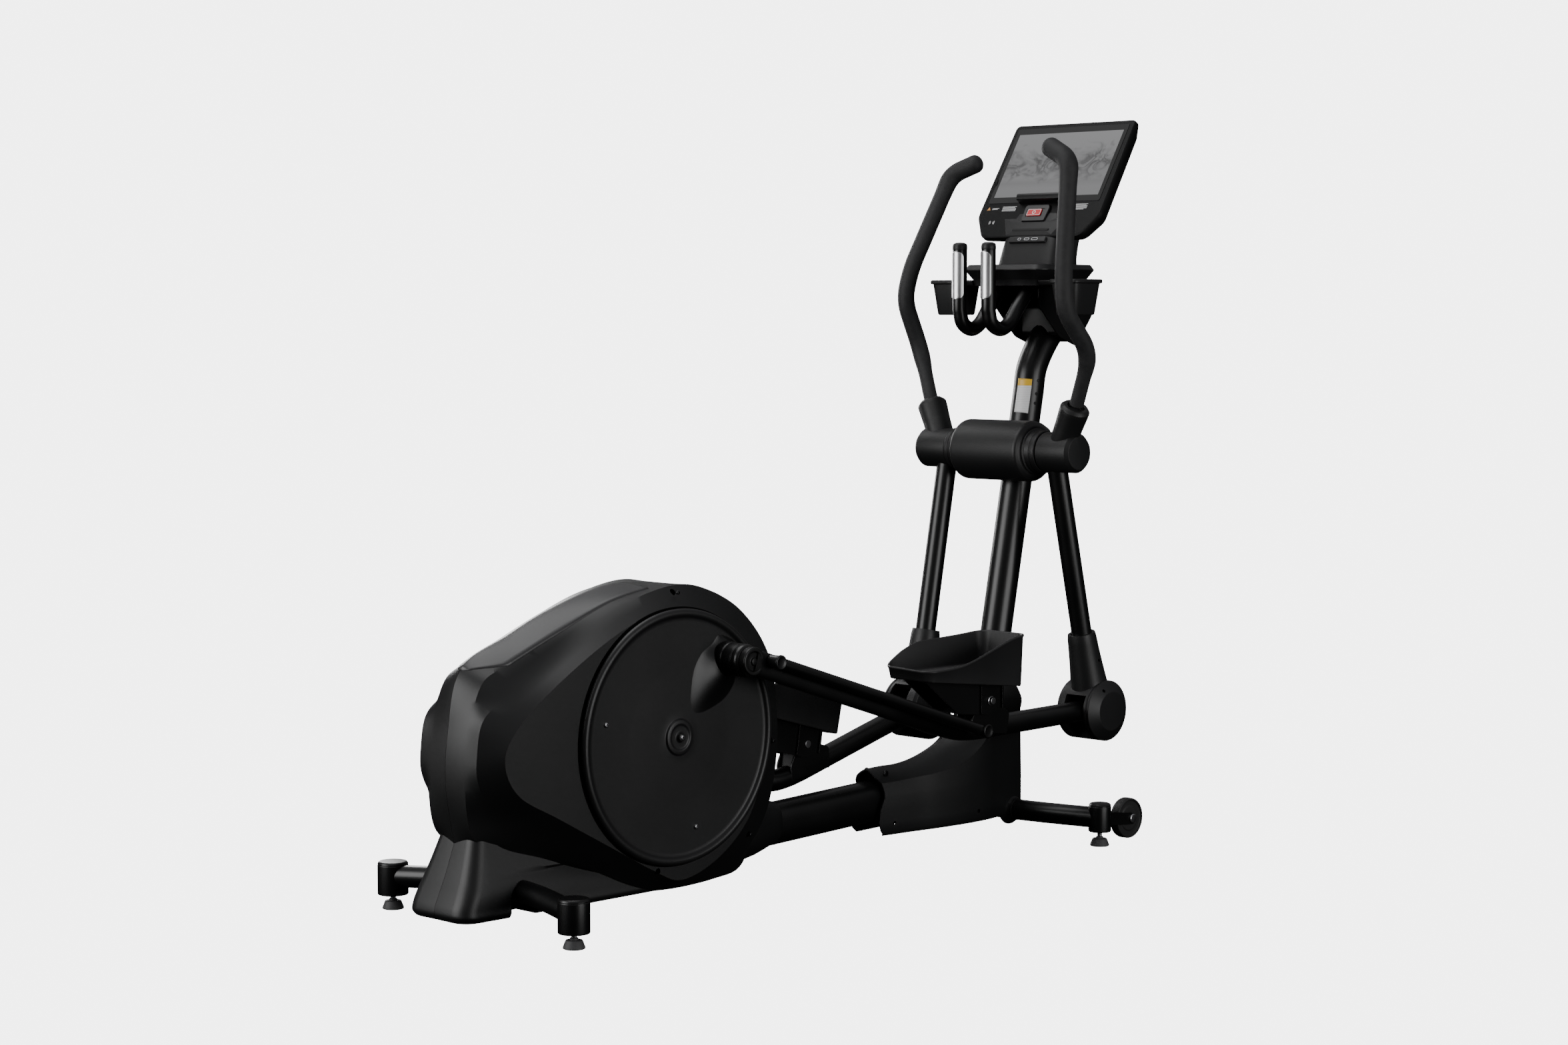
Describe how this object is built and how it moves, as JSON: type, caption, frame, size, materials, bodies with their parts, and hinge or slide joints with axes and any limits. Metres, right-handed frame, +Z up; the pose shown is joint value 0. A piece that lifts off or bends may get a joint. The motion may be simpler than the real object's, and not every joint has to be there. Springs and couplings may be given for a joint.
{
  "type": "elliptical trainer",
  "caption": "Rear-drive elliptical trainer with moving arms, linked pedal beams, spinning crank discs in a rounded shroud, fixed pulse grips, bins and a tilted screen console",
  "frame": {"origin": "on the floor, at the middle of the overall length and width", "axes": "+X forward towards the console, +Y to the user's left, +Z up"},
  "size_m": [2.1502, 0.699, 1.8093],
  "materials": {
    "painted_steel": "semi-gloss black powder coat",
    "black_plastic": "fine satin moulded texture",
    "grip_rubber": "matte foam and rubber",
    "foot_rubber": "matte",
    "bright_plate": "brushed",
    "screen": "glossy display",
    "red_key": "gloss"
  },
  "bodies": {
    "frame": {"main_beam": "painted_steel", "mast": "painted_steel", "rear_stabiliser": "painted_steel", "front_stabiliser": "painted_steel", "front_cover": "black_plastic", "shroud_left": "black_plastic", "shroud_right": "black_plastic", "crown_band": "black_plastic", "crank_carrier": "painted_steel", "drive_belt": "grip_rubber", "hub_shell": "black_plastic", "shoulder_axle": "painted_steel", "console_bracket": "painted_steel", "tray": "black_plastic", "bin_left": "black_plastic", "bin_right": "black_plastic", "fixed_grip_left": "grip_rubber", "fixed_grip_right": "grip_rubber", "contact_plate_left": "bright_plate", "contact_plate_right": "bright_plate", "console_shell": "black_plastic", "display_glass": "screen", "reading_ledge": "black_plastic", "key_block": "black_plastic", "port_module": "black_plastic", "console_neck": "black_plastic"},
    "crank": {"crank_axle": "painted_steel", "crank_disc_right": "black_plastic", "crank_disc_left": "black_plastic", "crank_arm_right": "painted_steel", "crank_arm_left": "painted_steel"},
    "flywheel": {"flywheel": "painted_steel"},
    "stop_key": {"stop_key": "red_key"},
    "right_arm": {"arm_hub_right": "black_plastic", "swing_tube_right": "painted_steel", "knuckle_right": "black_plastic", "handle_right": "grip_rubber"},
    "right_beam": {"pedal_beam_right": "painted_steel", "control_rod_right": "painted_steel", "pedal_bracket_right": "painted_steel"},
    "right_pedal": {"pedal_right": "black_plastic", "pedal_mat_right": "grip_rubber"},
    "right_wheel": {"transport_wheel_right": "foot_rubber"},
    "left_arm": {"arm_hub_left": "black_plastic", "swing_tube_left": "painted_steel", "knuckle_left": "black_plastic", "handle_left": "grip_rubber"},
    "left_beam": {"pedal_beam_left": "painted_steel", "control_rod_left": "painted_steel", "pedal_bracket_left": "painted_steel"},
    "left_pedal": {"pedal_left": "black_plastic", "pedal_mat_left": "grip_rubber"},
    "left_wheel": {"transport_wheel_left": "foot_rubber"},
    "foot_rear_left": {"foot_rear_left": "foot_rubber"},
    "foot_rear_right": {"foot_rear_right": "foot_rubber"},
    "foot_front_left": {"foot_front_left": "foot_rubber"},
    "foot_front_right": {"foot_front_right": "foot_rubber"}
  },
  "joints": [
    {"name": "crank_spin", "type": "hinge", "parent": "frame", "child": "crank", "pos_m": [-0.4926, 0, 0.3845], "axis": [0, -1, 0], "continuous": true},
    {"name": "flywheel_spin", "type": "hinge", "parent": "frame", "child": "flywheel", "pos_m": [-0.794, 0, 0.395], "axis": [0, -1, 0], "continuous": true},
    {"name": "right_arm", "type": "hinge", "parent": "frame", "child": "right_arm", "pos_m": [0.7575, -0.2, 0.9765], "axis": [0, -1, 0], "range_deg": [-28.8, 6.7]},
    {"name": "right_beam", "type": "hinge", "parent": "right_arm", "child": "right_beam", "pos_m": [0.9025, -0.184, 0.32228], "axis": [0, -1, 0], "range_deg": [-6.7, 28.8]},
    {"name": "right_pedal", "type": "hinge", "parent": "right_beam", "child": "right_pedal", "pos_m": [0.47224, -0.184, 0.3852], "axis": [0, -1, 0], "range_deg": [-11.81, 2.75]},
    {"name": "right_wheel", "type": "hinge", "parent": "frame", "child": "right_wheel", "pos_m": [0.896, -0.3, 0.0595], "axis": [0, -1, 0], "continuous": true},
    {"name": "left_arm", "type": "hinge", "parent": "frame", "child": "left_arm", "pos_m": [0.7575, 0.2, 0.9765], "axis": [0, -1, 0], "range_deg": [-6.7, 28.8]},
    {"name": "left_beam", "type": "hinge", "parent": "left_arm", "child": "left_beam", "pos_m": [0.64374, 0.184, 0.31613], "axis": [0, -1, 0], "range_deg": [-28.8, 6.7]},
    {"name": "left_pedal", "type": "hinge", "parent": "left_beam", "child": "left_pedal", "pos_m": [0.21147, 0.184, 0.2689], "axis": [0, -1, 0], "range_deg": [-2.75, 11.81]},
    {"name": "left_wheel", "type": "hinge", "parent": "frame", "child": "left_wheel", "pos_m": [0.896, 0.3, 0.0595], "axis": [0, -1, 0], "continuous": true},
    {"name": "foot_rear_left", "type": "hinge", "parent": "frame", "child": "foot_rear_left", "pos_m": [-0.941, 0.305, 0.03], "axis": [0, 0, 1], "continuous": true},
    {"name": "foot_rear_right", "type": "hinge", "parent": "frame", "child": "foot_rear_right", "pos_m": [-0.941, -0.305, 0.03], "axis": [0, 0, 1], "continuous": true},
    {"name": "foot_front_left", "type": "hinge", "parent": "frame", "child": "foot_front_left", "pos_m": [0.796, 0.296, 0.03], "axis": [0, 0, 1], "continuous": true},
    {"name": "foot_front_right", "type": "hinge", "parent": "frame", "child": "foot_front_right", "pos_m": [0.796, -0.296, 0.03], "axis": [0, 0, 1], "continuous": true},
    {"name": "stop_key", "type": "slide", "parent": "frame", "child": "stop_key", "axis": [0.8499, 0, -0.5269], "range_m": [0, 0.002], "stiffness_N_per_m": 400}
  ],
  "couplings": [
    {"joint": "flywheel_spin", "follows": "crank_spin", "ratio": 5.7967},
    {"joint": "right_beam", "follows": "right_arm", "ratio": -1},
    {"joint": "right_pedal", "follows": "right_arm", "ratio": 0.41},
    {"joint": "left_arm", "follows": "right_arm", "ratio": -1},
    {"joint": "left_beam", "follows": "right_arm", "ratio": 1},
    {"joint": "left_pedal", "follows": "right_arm", "ratio": -0.41}
  ]
}
